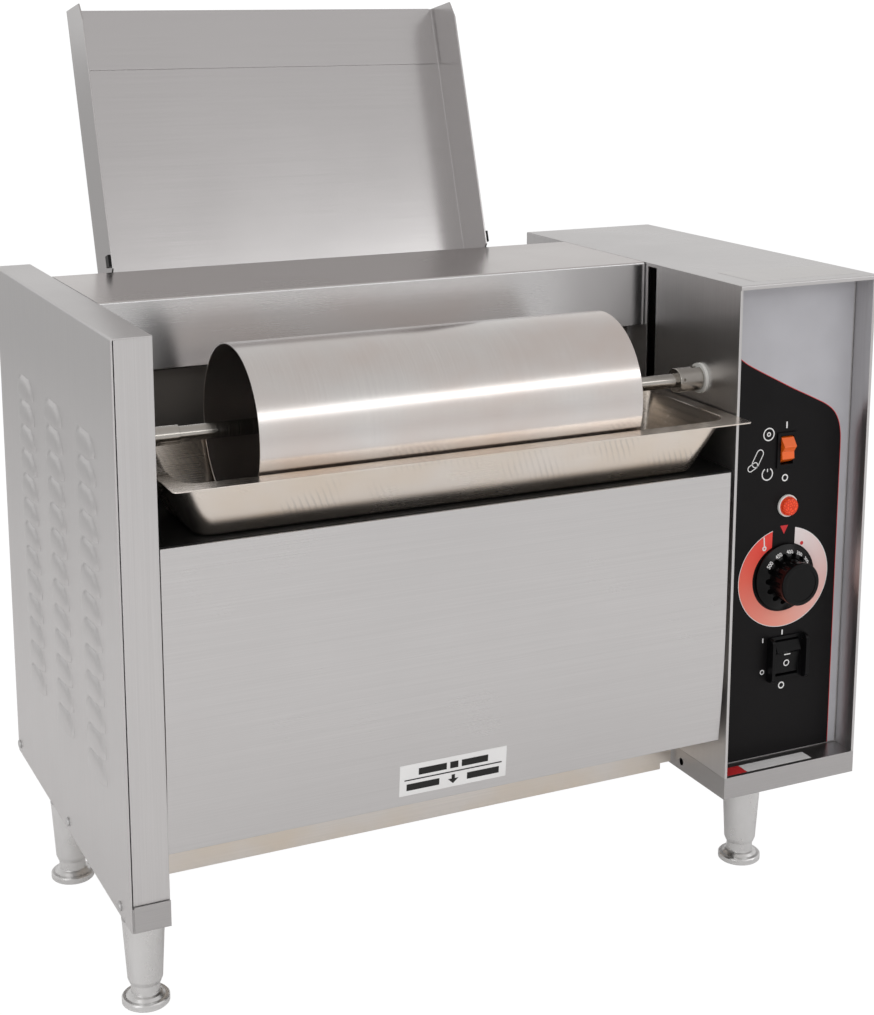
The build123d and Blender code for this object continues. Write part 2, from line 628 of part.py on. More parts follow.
def grown(span, amount):
    """A (low, high) pair made wider by amount at both ends."""
    return (span[0] - amount, span[1] + amount)


with BuildPart() as butter_pan:
    pan_bottom = SHELF_TOP + 0.2
    loft([
        rounded_outline(pan_bottom, grown(PAN_FLOOR_X, PAN_SHEET), grown(PAN_FLOOR_Y, PAN_SHEET), 13),
        rounded_outline(PAN_TOP, grown(CAVITY_X, PAN_SHEET), grown(CAVITY_Y, PAN_SHEET), 17),
    ])
    fillet(butter_pan.edges().group_by(Axis.Z)[0], 5)
    extrude(rounded_outline(PAN_TOP - PAN_SHEET, PAN_X, PAN_Y, 4), amount=PAN_SHEET)
    with BuildPart(mode=Mode.PRIVATE) as cavity:
        loft([
            rounded_outline(pan_bottom + PAN_SHEET, PAN_FLOOR_X, PAN_FLOOR_Y, 12),
            rounded_outline(PAN_TOP + 0.01, CAVITY_X, CAVITY_Y, 16),
        ])
        fillet(cavity.edges().group_by(Axis.Z)[0], 4)
    add(cavity.part, mode=Mode.SUBTRACT)
    rim = butter_pan.edges().group_by(Axis.Z)[-1].sort_by(Axis.Y)
    inner_rim = [edge for edge in rim if edge.bounding_box().min.Y > (PAN_Y[0] + CORNER.Y + 3)
                 and edge.bounding_box().max.Y < (PAN_Y[1] + CORNER.Y - 3)
                 and edge.bounding_box().min.X > (PAN_X[0] + CORNER.X + 3)
                 and edge.bounding_box().max.X < (PAN_X[1] + CORNER.X - 3)]
    fillet(inner_rim, 0.9)
save(butter_pan, "butter_pan")


# ---------------------------------------------------------------- butter roller

with BuildPart() as bearing_sleeve:
    bar("X", (LEFT_WALL + 0.4, SLEEVE_END), roller_place, SLEEVE_RADIUS)
    bar("X", (LEFT_WALL - 1, SLEEVE_END + 1), roller_place, BEARING_BORE, Mode.SUBTRACT)
save(bearing_sleeve, "bearing_sleeve")

SPIDER_PLACES = (215.0, 385.0)
with BuildPart() as roller_shell:
    bar("X", (ROLLER_START, ROLLER_END), roller_place, ROLLER_RADIUS)
    bar("X", (ROLLER_START - 1, ROLLER_END + 1), roller_place, ROLLER_RADIUS - 1, Mode.SUBTRACT)
save(roller_shell, "roller_shell")

with BuildPart() as roller_spiders:
    for x in SPIDER_PLACES:
        with BuildSketch(across(x)):
            with Locations((ROLLER_Y, ROLLER_Z)):
                Circle(ROLLER_RADIUS - 1)
                Circle(ROLLER_RADIUS - 8, mode=Mode.SUBTRACT)
                Circle(13)
                Rectangle(2 * ROLLER_RADIUS - 6, 14)
                Rectangle(14, 2 * ROLLER_RADIUS - 6)
                Circle(SHAFT_RADIUS, mode=Mode.SUBTRACT)
        extrude(amount=2.5)
save(roller_spiders, "roller_spiders")

with BuildPart() as roller_shaft:
    bar("X", (LEFT_WALL + 1.6, COUPLING_START + 8), roller_place, SHAFT_RADIUS)
save(roller_shaft, "roller_shaft")

TONGUE_START = RIGHT_WALL - 10.4
with BuildPart() as drive_coupling:
    bar("X", (COUPLING_START, RIGHT_WALL - 3.2), roller_place, COUPLING_RADIUS)
    bar("X", (COUPLING_START - 1, COUPLING_START + 8), roller_place, SHAFT_RADIUS, Mode.SUBTRACT)
    slot_x = (TONGUE_START - 0.4, RIGHT_WALL)
    block(slot_x, (ROLLER_Y - 3.2, ROLLER_Y + 3.2), (ROLLER_Z - 12, ROLLER_Z + 12), Mode.SUBTRACT)
    bar("Y", (ROLLER_Y - 11, ROLLER_Y - 8), (COUPLING_START + 4, ROLLER_Z + 2), 1.2, Mode.SUBTRACT)
    fillet(drive_coupling.edges().filter_by(GeomType.CIRCLE).group_by(Axis.X)[0].sort_by(SortBy.RADIUS)[-1], 0.8)
save(drive_coupling, "drive_coupling")


# ---------------------------------------------------------------- drive train

def sprocket(x, place):
    """Plain-rimmed sprocket body on its hub; its teeth stop below the chain's rollers."""
    bar("X", (x, x + CHAIN_WIDTH), place, SPROCKET_RADIUS)


def gear(x, place, turn):
    """Spur gear with straight-flanked teeth that leave running clearance in mesh."""
    pitch_radius = GEAR_TEETH * GEAR_MODULE / 2
    root_radius = pitch_radius - 1.3 * GEAR_MODULE
    tip_radius = pitch_radius + 0.85 * GEAR_MODULE
    step = 360 / GEAR_TEETH
    with BuildSketch(across(x), mode=Mode.PRIVATE) as outline:
        with Locations(place):
            Circle(root_radius)
            with PolarLocations(0, GEAR_TEETH, start_angle=turn):
                Polygon(
                    (root_radius - 0.4, -1.35), (pitch_radius, -1.02), (tip_radius, -0.42),
                    (tip_radius, 0.42), (pitch_radius, 1.02), (root_radius - 0.4, 1.35), align=None,
                )
    extrude(outline.sketch, amount=GEAR_WIDTH)


with BuildPart() as drive_stub:
    bar("X", (RIGHT_WALL - 2.8, ROLLER_CHAIN_X + 8), roller_place, SHAFT_RADIUS)
    block((TONGUE_START, RIGHT_WALL - 2.8), (ROLLER_Y - 3, ROLLER_Y + 3), (ROLLER_Z - 7.5, ROLLER_Z + 7.5))
    sprocket(ROLLER_CHAIN_X, roller_place)
save(drive_stub, "drive_stub")


def belt_roller(place):
    """Tube with two end discs that carries the belt, on a through shaft."""
    tube_x = (BELT_X[0] + 1, BELT_X[1] - 1)
    bar("X", tube_x, place, BELT_INSIDE - 0.3)
    bar("X", (tube_x[0] + 4, tube_x[1] - 4), place, BELT_INSIDE - 2.3, Mode.SUBTRACT)


SHAFTS = {
    "front_upper_shaft": (FRONT_CONVEYOR_Y, CONVEYOR_UPPER_Z, 552.0),
    "front_lower_shaft": (FRONT_CONVEYOR_Y, CONVEYOR_LOWER_Z, 520.0),
    "rear_upper_shaft": (REAR_CONVEYOR_Y, CONVEYOR_UPPER_Z, 562.0),
    "rear_lower_shaft": (REAR_CONVEYOR_Y, CONVEYOR_LOWER_Z, 520.0),
}
for name, (y, z, end) in SHAFTS.items():
    with BuildPart() as shaft:
        belt_roller((y, z))
        bar("X", (23, end), (y, z), SHAFT_RADIUS)
        if name == "front_upper_shaft":
            sprocket(MOTOR_CHAIN_X, (y, z))
            sprocket(ROLLER_CHAIN_X, (y, z))
            gear(GEAR_X, (y, z), 0)
        if name == "rear_upper_shaft":
            sprocket(REAR_CHAIN_X, (y, z))
    save(shaft, name)

with BuildPart() as countershaft:
    counter_place = (COUNTER_Y, CONVEYOR_UPPER_Z)
    bar("X", (RIGHT_WALL - 2, 562), counter_place, SHAFT_RADIUS)
    gear(GEAR_X, counter_place, 180 / GEAR_TEETH)
    sprocket(REAR_CHAIN_X, counter_place)
save(countershaft, "countershaft")

with BuildPart() as motor_sprocket:
    motor_place = (FRONT_CONVEYOR_Y, MOTOR_Z)
    bar("X", (MOTOR_CHAIN_X - 3, 542), motor_place, SHAFT_RADIUS)
    sprocket(MOTOR_CHAIN_X, motor_place)
save(motor_sprocket, "motor_sprocket")


def chain_loop(x, start, end):
    """Roller chain drawn as a closed band around two sprockets; start and end are (y, z)."""
    middle = ((start[0] + end[0]) / 2, (start[1] + end[1]) / 2)
    run = Vector(end[0] - start[0], end[1] - start[1])
    slope = degrees(atan2(run.Y, run.X))
    with BuildSketch(across(x), mode=Mode.PRIVATE) as loop:
        with Locations(middle):
            SlotCenterToCenter(run.length, 2 * (CHAIN_INSIDE + CHAIN), rotation=slope)
            SlotCenterToCenter(run.length, 2 * CHAIN_INSIDE, rotation=slope, mode=Mode.SUBTRACT)
    extrude(loop.sketch, amount=CHAIN_WIDTH)


with BuildPart() as drive_chains:
    upper_place = (FRONT_CONVEYOR_Y, CONVEYOR_UPPER_Z)
    chain_loop(MOTOR_CHAIN_X, motor_place, upper_place)
    chain_loop(ROLLER_CHAIN_X, upper_place, roller_place)
    chain_loop(REAR_CHAIN_X, counter_place, (REAR_CONVEYOR_Y, CONVEYOR_UPPER_Z))
save(drive_chains, "drive_chains")

with BuildPart() as gearmotor:
    block((532.5, 566), (78, 146), (106, 166))
    bar("Z", (BASE + 8, 106), (551, 112), 30)
    bar("X", (530, 545), motor_place, SHAFT_RADIUS + 0.06, Mode.SUBTRACT)
    block((548, 566), (90, 134), (BASE, BASE + 8))
save(gearmotor, "gearmotor")


# ---------------------------------------------------------------- legs and feet

STEM_RADIUS = 10.9
FOOT_HEIGHT = 6.0
with BuildPart() as legs:
    for x, y in LEG_PLACES.values():
        centre = CORNER + Vector(x, y, 0)
        with BuildSketch(Plane(origin=centre, x_dir=(1, 0, 0), z_dir=(0, -1, 0))):
            Polygon(
                (0, 0), (16.2, 0), (15.8, -4), (13.2, -48.5), (11.9, -52), (11.0, -52), (11.0, -14), (0, -14),
                align=None,
            )
        revolve(axis=Axis(centre, (0, 0, 1)))
save(legs, "legs")

for name, (x, y) in LEG_PLACES.items():
    centre = CORNER + Vector(x, y, -LEG_HEIGHT)
    with BuildPart() as foot:
        with BuildSketch(Plane(origin=centre, x_dir=(1, 0, 0), z_dir=(0, -1, 0))):
            Polygon(
                (0, 0), (17.1, 0), (17.9, 0.8), (17.9, 4.6), (17.0, 5.6), (14.6, FOOT_HEIGHT - 0.2),
                (12.6, 7.8), (STEM_RADIUS, 8.8), (STEM_RADIUS, 53), (0, 53), align=None,
            )
        revolve(axis=Axis(centre, (0, 0, 1)))
    save(foot, f"{name}_foot")
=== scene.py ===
"""Looks of the vertical bun toaster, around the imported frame.

Materials, printed detail, louvres, studio and camera.
"""
import math

import bmesh
import bpy
from mathutils import Matrix, Vector
from mathutils.bvhtree import BVHTree


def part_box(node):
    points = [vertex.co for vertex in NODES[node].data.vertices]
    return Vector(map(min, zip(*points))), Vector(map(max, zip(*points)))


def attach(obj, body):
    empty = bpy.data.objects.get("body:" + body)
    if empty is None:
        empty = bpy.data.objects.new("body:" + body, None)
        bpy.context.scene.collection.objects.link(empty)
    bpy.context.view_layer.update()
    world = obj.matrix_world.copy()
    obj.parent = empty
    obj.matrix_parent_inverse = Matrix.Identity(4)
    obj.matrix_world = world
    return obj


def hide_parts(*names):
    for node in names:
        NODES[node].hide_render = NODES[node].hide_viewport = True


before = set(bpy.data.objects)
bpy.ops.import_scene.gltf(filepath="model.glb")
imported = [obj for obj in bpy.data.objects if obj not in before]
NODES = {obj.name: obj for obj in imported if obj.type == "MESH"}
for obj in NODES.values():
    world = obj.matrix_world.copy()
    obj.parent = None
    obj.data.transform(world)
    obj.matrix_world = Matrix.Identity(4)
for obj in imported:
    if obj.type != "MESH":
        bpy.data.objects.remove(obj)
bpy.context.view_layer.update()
MM = 0.001

# CORNER is the body's left front bottom corner. It is found from the rear panel, which starts at the left
# tower's inner wall and ends at the back of the body. Places below are in millimetres from this corner.
LEFT_WALL, DEPTH, HEIGHT, SHEET = 29.4, 360.0, 439.5, 1.2
REAR_LOW, REAR_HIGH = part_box("rear_panel")
CORNER = Vector((REAR_LOW.x - LEFT_WALL * MM, REAR_HIGH.y - DEPTH * MM, REAR_LOW.z))


def spot(x, y, z):
    """Point in the frame for a place in millimetres from the body's corner."""
    return CORNER + Vector((x, y, z)) * MM


# ------------------------------------------------------------------ material tools

# The Mix node repeats its socket names for each data type, so its colour sockets are picked by index.
MIX_FIRST, MIX_SECOND, MIX_RESULT = 6, 7, 2


class Shader:
    """Short-hand for building one material's node tree."""

    def __init__(self, name):
        self.material = bpy.data.materials.new(name)
        self.material.use_nodes = True
        self.tree = self.material.node_tree
        self.bsdf = self.tree.nodes["Principled BSDF"]
        self.place = self.node("ShaderNodeTexCoord").outputs["Object"]

    def node(self, kind, **settings):
        made = self.tree.nodes.new(kind)
        for key, value in settings.items():
            setattr(made, key, value)
        return made

    def link(self, source, target):
        self.tree.links.new(source, target)

    def set(self, **values):
        """Set the shader's own sockets; an underscore stands for a space in a socket's name."""
        for key, value in values.items():
            self.bsdf.inputs[key.replace("_", " ")].default_value = value

    def stretched(self, scale):
        """Object coordinates, scaled differently along each axis."""
        mapping = self.node("ShaderNodeMapping")
        mapping.inputs["Scale"].default_value = scale
        self.link(self.place, mapping.inputs["Vector"])
        return mapping.outputs["Vector"]

    def noise(self, scale, detail=3.0, roughness=0.5):
        made = self.node("ShaderNodeTexNoise")
        made.inputs["Scale"].default_value = 1.0
        made.inputs["Detail"].default_value = detail
        made.inputs["Roughness"].default_value = roughness
        self.link(self.stretched(scale), made.inputs["Vector"])
        return made.outputs["Fac"]

    def ramp(self, value, low, high, to_low, to_high):
        """The value, mapped from low..high to to_low..to_high and clamped."""
        made = self.node("ShaderNodeMapRange")
        limits = {"From Min": low, "From Max": high, "To Min": to_low, "To Max": to_high}
        for socket, number in limits.items():
            made.inputs[socket].default_value = number
        self.link(value, made.inputs["Value"])
        return made.outputs["Result"]

    def mix(self, factor, first, second):
        """Blend two colours by a value; each colour is a tuple or a socket."""
        made = self.node("ShaderNodeMix", data_type="RGBA")
        sources = (
            (made.inputs["Factor"], factor),
            (made.inputs[MIX_FIRST], first),
            (made.inputs[MIX_SECOND], second),
        )
        for socket, source in sources:
            if isinstance(source, tuple):
                socket.default_value = (*source, 1)
            elif isinstance(source, float):
                socket.default_value = source
            else:
                self.link(source, socket)
        return made.outputs[MIX_RESULT]

    def maths(self, operation, *sources):
        made = self.node("ShaderNodeMath", operation=operation)
        for socket, source in zip(made.inputs, sources):
            if isinstance(source, (int, float)):
                socket.default_value = source
            else:
                self.link(source, socket)
        return made.outputs[0]

    def bump(self, height, strength, distance, edge=0.0):
        """Bump from a height; edge rounds the sheet's sharp edges for the light only."""
        made = self.node("ShaderNodeBump")
        made.inputs["Strength"].default_value = strength
        made.inputs["Distance"].default_value = distance
        self.link(height, made.inputs["Height"])
        if edge:
            soft = self.node("ShaderNodeBevel", samples=4)
            soft.inputs["Radius"].default_value = edge
            self.link(soft.outputs["Normal"], made.inputs["Normal"])
        self.link(made.outputs["Normal"], self.bsdf.inputs["Normal"])


FINE, LONG = 1500, 9
GRAIN = {
    "X": (LONG, FINE, FINE),
    "Y": (FINE, LONG, FINE),
    "Z": (FINE, FINE, LONG),
    "rings": (FINE, LONG, LONG),
}


def looks_up(s):
    """1 on faces that look up, 0 on upright ones."""
    facing = s.node("ShaderNodeSeparateXYZ")
    s.link(s.node("ShaderNodeNewGeometry").outputs["Normal"], facing.inputs[0])
    return s.ramp(facing.outputs["Z"], 0.5, 0.9, 0, 1)


def scraped(s):
    """Strength of the fine slanting scratches that scraping leaves, in worn patches."""
    turned = s.node("ShaderNodeMapping")
    turned.inputs["Rotation"].default_value = (0, math.radians(28), 0)
    s.link(s.place, turned.inputs["Vector"])
    scratches = s.node("ShaderNodeTexWave", wave_profile="SIN")
    scratches.inputs["Scale"].default_value = 70
    scratches.inputs["Distortion"].default_value = 1.5
    scratches.inputs["Detail"].default_value = 3
    s.link(turned.outputs["Vector"], scratches.inputs["Vector"])
    worn = s.ramp(s.noise((14, 14, 22), 2.0), 0.48, 0.62, 0, 0.3)
    lines = s.ramp(scratches.outputs["Fac"], 0.55, 0.95, 0, 1)
    return s.maths("MULTIPLY", worn, lines)


def brushed_metal(name, colour, grain, roughness, streak=0.03, smudge=0.04, tint=None, top_painted_shade=None,
                  scored=False, edge=0.0006):
    """Directional brushed sheet: fine long streaks and faint cloudy handling marks.

    tint is a patchy warm heat colour, the top colour is painted shade for faces that look up, and scored adds
    scratches.
    """
    s = Shader(name)
    fine = s.noise(GRAIN[grain], 2.0, 0.6)
    broad = s.noise(tuple(v * 0.3 for v in GRAIN[grain]), 2.0)
    streaks = s.mix(0.2, fine, broad)
    cloud = s.noise((6, 6, 6), 4.0, 0.6)
    darker = tuple(c * (1 - 2 * streak) for c in colour)
    lighter = tuple(min(1, c * (1 + streak)) for c in colour)
    base = s.mix(s.ramp(streaks, 0.3, 0.7, 0, 1), darker, lighter)
    base = s.mix(s.ramp(cloud, 0.3, 0.7, 0, 0.35), base, tuple(c * 0.93 for c in colour))
    if tint:
        patch = s.ramp(s.noise((9, 9, 14), 3.0, 0.55), 0.42, 0.72, 0, 0.85)
        base = s.mix(patch, base, tint)
    # Painted shade: faces that look up take a darker, browner colour in place of the dim reflection they
    # catch.
    if top_painted_shade:
        base = s.mix(looks_up(s), base, top_painted_shade)
    if scored:
        base = s.mix(scraped(s), base, tuple(c * 0.5 for c in colour))
    s.link(base, s.bsdf.inputs["Base Color"])
    rough = s.ramp(s.mix(0.75, streaks, cloud), 0.35, 0.65, roughness - smudge, roughness + smudge)
    s.link(rough, s.bsdf.inputs["Roughness"])
    s.set(Metallic=1.0)
    s.bump(streaks, 0.05, 0.00003, edge)
    return s.material


def turned_metal(name, colour, roughness):
    """Lathe-turned or drawn bar with fine rings around X."""
    s = Shader(name)
    rings = s.noise((2600, 30, 30), 2.0)
    s.link(s.mix(rings, tuple(c * 0.86 for c in colour), colour), s.bsdf.inputs["Base Color"])
    s.link(s.ramp(rings, 0.3, 0.7, roughness - 0.05, roughness + 0.06), s.bsdf.inputs["Roughness"])
    s.set(Metallic=1.0)
    s.bump(rings, 0.06, 0.00004, 0.0004)
    return s.material


def moulded(name, colour, roughness, texture=0.00004, gloss=0.5, coat=0.0, edge=0.0004):
    """Moulded plastic or rubber with a fine spark-eroded texture and slight colour drift."""
    s = Shader(name)
    fine = s.noise((1400, 1400, 1400), 3.0, 0.6)
    drift = s.noise((40, 40, 40), 2.0)
    lighter = tuple(min(1, c * 1.15 + 0.003) for c in colour)
    s.link(s.mix(drift, colour, lighter), s.bsdf.inputs["Base Color"])
    s.link(s.ramp(drift, 0.3, 0.7, roughness - 0.04, roughness + 0.05), s.bsdf.inputs["Roughness"])
    s.set(Specular_IOR_Level=gloss, Coat_Weight=coat)
    s.bump(fine, 0.25, texture, edge)
    return s.material


def nickel_plate():
    """Satin nickel on the cast legs, a little brighter where handling has polished it."""
    s = Shader("nickel_plate")
    cloud = s.noise((60, 60, 35), 4.0, 0.6)
    s.link(s.mix(cloud, (0.66, 0.655, 0.65), (0.8, 0.8, 0.8)), s.bsdf.inputs["Base Color"])
    s.link(s.ramp(cloud, 0.3, 0.7, 0.24, 0.36), s.bsdf.inputs["Roughness"])
    s.set(Metallic=1.0)
    s.bump(s.noise((500, 500, 500), 2.0), 0.08, 0.00005, 0.0006)
    return s.material


def seasoned_casting():
    """Dark cast platen and oxidised element sheath."""
    s = Shader("seasoned_casting")
    cloud = s.noise((25, 25, 25), 6.0, 0.65)
    s.link(s.mix(cloud, (0.13, 0.125, 0.12), (0.26, 0.24, 0.22)), s.bsdf.inputs["Base Color"])
    s.link(s.ramp(cloud, 0.3, 0.7, 0.45, 0.7), s.bsdf.inputs["Roughness"])
    s.set(Metallic=0.6)
    s.bump(s.noise((420, 420, 420), 3.0, 0.6), 0.5, 0.0002)
    return s.material


def pilot_lens():
    """Red moulded lens with a prismatic pattern and a soft warm glow from its depth."""
    s = Shader("pilot_lens")
    facets = s.node("ShaderNodeTexVoronoi", feature="DISTANCE_TO_EDGE")
    facets.inputs["Scale"].default_value = 420
    s.link(s.place, facets.inputs["Vector"])
    edge = s.ramp(facets.outputs["Distance"], 0.0, 0.25, 0, 1)
    s.link(s.mix(edge, (0.5, 0.016, 0.003), (0.86, 0.075, 0.014)), s.bsdf.inputs["Base Color"])
    s.set(Roughness=0.16, Coat_Weight=0.25, Specular_IOR_Level=0.3)
    s.set(Emission_Color=(0.9, 0.06, 0.008, 1), Emission_Strength=0.16)
    s.bump(facets.outputs["Distance"], 0.3, 0.0004, 0.0004)
    return s.material


def dial_print():
    """Heat scale around the knob: red at the upper left, coral below, almost white at the upper right."""
    s = Shader("dial_print")
    centre = spot(*DIAL)
    split = s.node("ShaderNodeSeparateXYZ")
    s.link(s.place, split.inputs[0])
    right = s.maths("SUBTRACT", split.outputs["X"], centre.x)
    up = s.maths("SUBTRACT", split.outputs["Z"], centre.z)
    turn = s.maths("ARCTAN2", s.maths("MULTIPLY", right, -1), s.maths("MULTIPLY", up, -1))
    scale = s.node("ShaderNodeValToRGB")
    s.link(s.ramp(turn, -math.pi, math.pi, 0, 1), scale.inputs["Fac"])
    stops = scale.color_ramp.elements
    stops[0].position, stops[0].color = 0.05, (0.86, 0.78, 0.78, 1)
    stops[1].position, stops[1].color = 0.93, (0.9, 0.055, 0.04, 1)
    between = {0.25: (0.88, 0.6, 0.57), 0.5: (0.9, 0.36, 0.28), 0.75: (0.92, 0.15, 0.1)}
    for position, colour in between.items():
        stops.new(position).color = (*colour, 1)
    s.link(scale.outputs["Color"], s.bsdf.inputs["Base Color"])
    s.link(s.ramp(s.noise((300, 300, 300)), 0.3, 0.7, 0.38, 0.5), s.bsdf.inputs["Roughness"])
    return s.material


# ------------------------------------------------------------------ materials on the CAD nodes

FILM_FRONT = 24.6
DIAL = (584.0, FILM_FRONT, 180.4)
STEEL = (0.655, 0.645, 0.645)
MATERIALS = {
    "sheet_x": brushed_metal("stainless_grain_x", STEEL, "X", 0.3),
    "sheet_z": brushed_metal("stainless_grain_z", STEEL, "Z", 0.34),
    "sheet_y": brushed_metal("stainless_grain_y", STEEL, "Y", 0.3),
    # Painted shade: a darker copy of the sheet steel for the parts near the floor, standing in for the
    # shadowed floor they reflect.
    "base_sheet_painted_shade": brushed_metal("stainless_base_painted_shade", (0.5, 0.49, 0.49), "X", 0.3),
    "tray": brushed_metal("stainless_tray", (0.58, 0.565, 0.565), "X", 0.22, streak=0.015),
    # The hood's top colour is painted shade, standing in for the dim reflection on its upward faces.
    "hood": brushed_metal("stainless_hood", (0.68, 0.675, 0.68), "X", 0.25, streak=0.015,
                          top_painted_shade=(0.61, 0.58, 0.57)),
    "roller": brushed_metal("roller_steel", (0.76, 0.735, 0.72), "rings", 0.22, streak=0.025, smudge=0.03,
                            tint=(0.7, 0.62, 0.58)),
    "pan": brushed_metal("pan_steel", (0.86, 0.8, 0.74), "X", 0.25, tint=(0.8, 0.69, 0.57), scored=True),
    "ramp": brushed_metal("heat_tinted_steel", (0.78, 0.74, 0.7), "X", 0.35, tint=(0.76, 0.66, 0.54)),
    "zinc": brushed_metal("galvanised_steel", (0.5, 0.5, 0.5), "Z", 0.42, streak=0.08, smudge=0.08),
    "turned": turned_metal("turned_steel", (0.5, 0.475, 0.44), 0.17),
    "drive": turned_metal("drive_steel", (0.32, 0.31, 0.3), 0.38),
    "screw": turned_metal("screw_steel", (0.62, 0.62, 0.62), 0.3),
    "copper": turned_metal("copper_tube", (0.72, 0.4, 0.26), 0.3),
    "nickel": nickel_plate(),
    "casting": seasoned_casting(),
    "black_paint": moulded("black_steel_paint", (0.007, 0.007, 0.007), 0.4, 0.00003, gloss=0.35),
    "black_plastic": moulded("black_plastic", (0.003, 0.003, 0.0035), 0.3, gloss=0.14),
    "knob": moulded("knob_plastic", (0.002, 0.002, 0.0022), 0.2, 0.00001, gloss=0.16),
    "nylon": moulded("white_nylon", (0.83, 0.83, 0.8), 0.45),
    "silicone": moulded("silicone_belt", (0.4, 0.37, 0.34), 0.6, 0.0001),
    "orange": moulded("orange_plastic", (0.86, 0.13, 0.006), 0.26, 0.00001, coat=0.5),
    "lens": pilot_lens(),
    "film": moulded("overlay_black", (0.006, 0.0055, 0.006), 0.42, 0.00002, gloss=0.12, edge=0.0),
    "grey_ink": moulded("overlay_grey", (0.47, 0.47, 0.5), 0.4, 0.00001, gloss=0.3, edge=0.0),
    "white_ink": moulded("white_ink", (0.8, 0.8, 0.8), 0.45, 0.00001, gloss=0.3, edge=0.0),
    "red_ink": moulded("red_ink", (0.62, 0.03, 0.035), 0.45, 0.00001, gloss=0.3, edge=0.0),
    "black_ink": moulded("black_ink", (0.01, 0.01, 0.01), 0.45, 0.00001, gloss=0.3, edge=0.0),
    "dial": dial_print(),
    "label": moulded("label_film", (0.8, 0.8, 0.8), 0.35, 0.00001, edge=0.0),
    "clear_label": brushed_metal("clear_label_film", (0.74, 0.73, 0.725), "X", 0.42, streak=0.01, edge=0.0),
}
FINISH = {
    "sheet_x": ("front_panel", "control_box_top_cover", "rear_panel"),
    "base_sheet_painted_shade": ("right_base_tray", "left_base_channel"),
    "tray": ("bun_tray",),
    "hood": ("hood",),
    "sheet_z": ("left_side_cover", "left_tower_wall", "control_box_wall", "control_box_side_cover",
                "control_panel"),
    "sheet_y": ("roller_saddle",),
    "roller": ("roller_shell",),
    "pan": ("butter_pan",),
    "ramp": ("discharge_ramp",),
    "zinc": ("control_box_rear_panel", "core_end_plates", "hood_rails", "thermostat", "roller_spiders"),
    "turned": ("roller_shaft", "drive_coupling", "bearing_sleeve"),
    "drive": ("drive_stub", "front_upper_shaft", "front_lower_shaft", "rear_upper_shaft", "rear_lower_shaft",
              "countershaft", "motor_sprocket", "drive_chains"),
    "screw": ("cover_screws",),
    "copper": ("thermostat_capillary",),
    "nickel": ("legs", "front_left_foot", "rear_left_foot", "front_right_foot", "rear_right_foot"),
    "casting": ("platens", "heating_elements"),
    "black_paint": ("pan_shelf", "gearmotor"),
    "black_plastic": ("power_rocker", "power_switch_housing", "motor_switch_housing", "cord_gland",
                      "tray_bumpers"),
    "knob": ("thermostat_knob",),
    "nylon": ("shaft_bearings", "roller_wall_bushing", "lamp_bezel", "terminal_block"),
    "silicone": ("front_conveyor_belt", "rear_conveyor_belt"),
    "orange": ("motor_rocker",),
    "lens": ("lamp_lens",),
    "film": ("panel_overlay",),
    "label": ("front_label",),
}
for finish, names in FINISH.items():
    for name in names:
        mesh = NODES[name].data
        mesh.materials.clear()
        mesh.materials.append(MATERIALS[finish])


# ------------------------------------------------------------------ piece tools

def piece(name, bm, finish, body, smooth=None):
    """Turn a bmesh into a named piece that rides on a CAD body."""
    bmesh.ops.recalc_face_normals(bm, faces=bm.faces)
    mesh = bpy.data.meshes.new(name)
    bm.to_mesh(mesh)
    bm.free()
    if smooth is not None:
        mesh.shade_smooth()
        mesh.set_sharp_from_angle(angle=math.radians(smooth))
    mesh.materials.append(MATERIALS[finish])
    made = bpy.data.objects.new(name, mesh)
    bpy.context.scene.collection.objects.link(made)
    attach(made, body)
    return made


def thicken(bm, faces, by):
    """Give a flat or curved patch of faces real thickness along a vector."""
    grown = bmesh.ops.extrude_face_region(bm, geom=faces)
    moved = [item for item in grown["geom"] if isinstance(item, bmesh.types.BMVert)]
    bmesh.ops.translate(bm, vec=by, verts=moved)


def smooth_line(points, steps=6):
    """Catmull-Rom curve through the points."""
    padded = [points[0], *points, points[-1]]
    line = []
    for index in range(1, len(padded) - 2):
        p0, p1, p2, p3 = (Vector(p) for p in padded[index - 1:index + 3])
        for step in range(steps):
            t = step / steps
            line.append(0.5 * ((2 * p1) + (p2 - p0) * t + (2 * p0 - 5 * p1 + 4 * p2 - p3) * t * t
                               + (3 * p1 - p0 - 3 * p2 + p3) * t ** 3))
    return [*line, Vector(points[-1])]


INK = 0.08


def print_faces(bm, outline, layer=1):
    """One printed shape on the control panel; outline is a list of (x, z)."""
    y = FILM_FRONT - INK * (layer - 1)
    face = bm.faces.new([bm.verts.new(spot(x, y, z)) for x, z in outline])
    thicken(bm, [face], Vector((0, -INK * MM, 0)))


def print_band(bm, inner, outer, layer=1):
    """A printed band between two lines with the same number of points."""
    y = FILM_FRONT - INK * (layer - 1)
    rows = [[bm.verts.new(spot(x, y, z)) for x, z in line] for line in (inner, outer)]
    faces = [
        bm.faces.new((rows[0][i], rows[0][i + 1], rows[1][i + 1], rows[1][i]))
        for i in range(len(inner) - 1)
    ]
    thicken(bm, faces, Vector((0, -INK * MM, 0)))


def arc(centre, radius, start, end, steps=64):
    """Points on an arc; angles run clockwise in degrees from the top."""
    turns = [math.radians(start + (end - start) * i / steps) for i in range(steps + 1)]
    return [(centre[0] + radius * math.sin(a), centre[1] + radius * math.cos(a)) for a in turns]


def ring(bm, centre, radius, width, start=0.0, end=360.0, layer=1):
    """Printed ring or part of one; radius is to the middle of its width."""
    inner = arc(centre, radius - width / 2, start, end)
    outer = arc(centre, radius + width / 2, start, end)
    print_band(bm, inner, outer, layer)


def stroke(bm, first, second, width, layer=1):
    """Straight printed line with square ends."""
    along = (Vector(second) - Vector(first)).normalized() * width / 2
    side = Vector((-along.y, along.x))
    a, b = Vector(first), Vector(second)
    print_faces(bm, [a + side, b + side, b - side, a - side], layer)


# ------------------------------------------------------------------ control panel print

